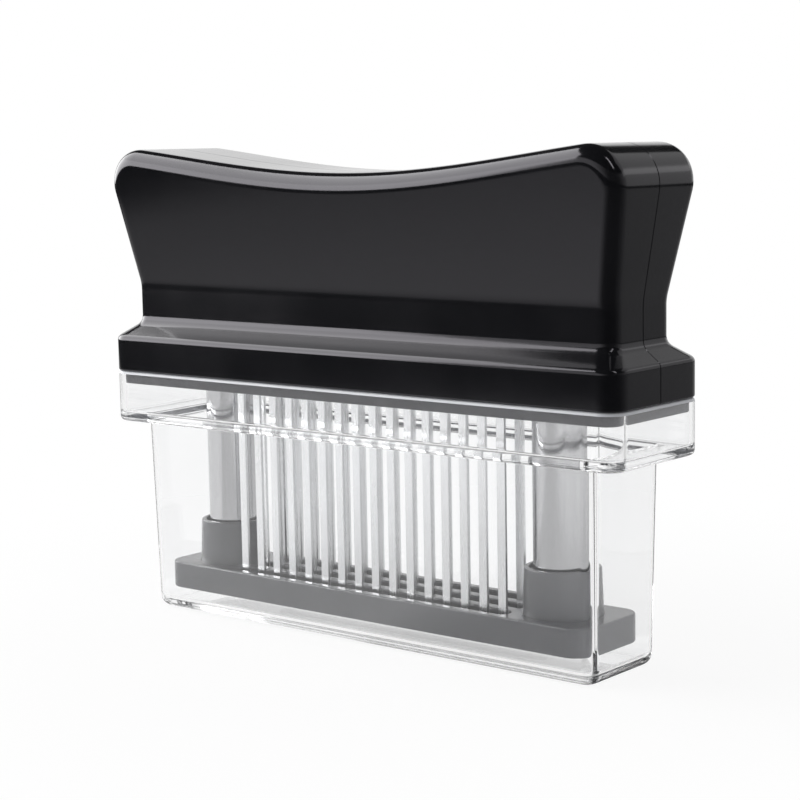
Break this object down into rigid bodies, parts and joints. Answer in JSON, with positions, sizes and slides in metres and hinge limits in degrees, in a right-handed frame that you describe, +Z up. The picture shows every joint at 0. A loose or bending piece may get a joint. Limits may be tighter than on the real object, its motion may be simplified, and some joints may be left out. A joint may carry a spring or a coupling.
{
  "type": "blade meat tenderizer",
  "caption": "Hand-held blade meat tenderizer: saddle-topped handle, rows of fixed steel blades, sprung foot plate on two steel columns, and a clear stepped storage cover.",
  "frame": {"origin": "middle of the storage cover's underside, on the surface that it stands on", "axes": "+X to the right along the rows of blades, +Y to the back, +Z up"},
  "size_m": [0.15, 0.0342, 0.1141],
  "materials": {
    "clear_polystyrene": "clear, polished",
    "black_abs": "gloss",
    "grey_abs": "satin",
    "steel": "brushed",
    "blade_steel": "ground",
    "screw_steel": "plain",
    "spring_steel": "plain",
    "bush_acetal": "matte"
  },
  "bodies": {
    "cover": {"storage_cover": "clear_polystyrene"},
    "handle": {"handle_front_shell": "black_abs", "handle_rear_shell": "black_abs", "closing_plate": "grey_abs", "closing_plate_screws": "screw_steel", "blade_carrier": "grey_abs", "blade_clamp_plate": "steel", "clamp_screws": "screw_steel", "blade_row_front": "blade_steel", "blade_row_middle": "blade_steel", "blade_row_rear": "blade_steel", "guide_bush_left": "bush_acetal", "guide_bush_right": "bush_acetal", "spring_cap_left": "bush_acetal", "spring_cap_right": "bush_acetal", "spring_left": "spring_steel", "spring_right": "spring_steel"},
    "guard": {"foot_plate": "grey_abs", "column_left": "steel", "column_right": "steel", "column_plug_left": "screw_steel", "column_plug_right": "screw_steel", "stop_ring_left": "screw_steel", "stop_ring_right": "screw_steel", "column_screws": "screw_steel"}
  },
  "joints": [
    {"name": "cover_lift_off", "type": "slide", "parent": "cover", "child": "handle", "axis": [0, 0, 1], "range_m": [0, 0.07]},
    {"name": "guard_slide", "type": "slide", "parent": "handle", "child": "guard", "axis": [0, 0, 1], "range_m": [0, 0.0335], "stiffness_N_per_m": 1365, "springref_m": -0.01, "deforming": ["spring_left", "spring_right"]}
  ]
}
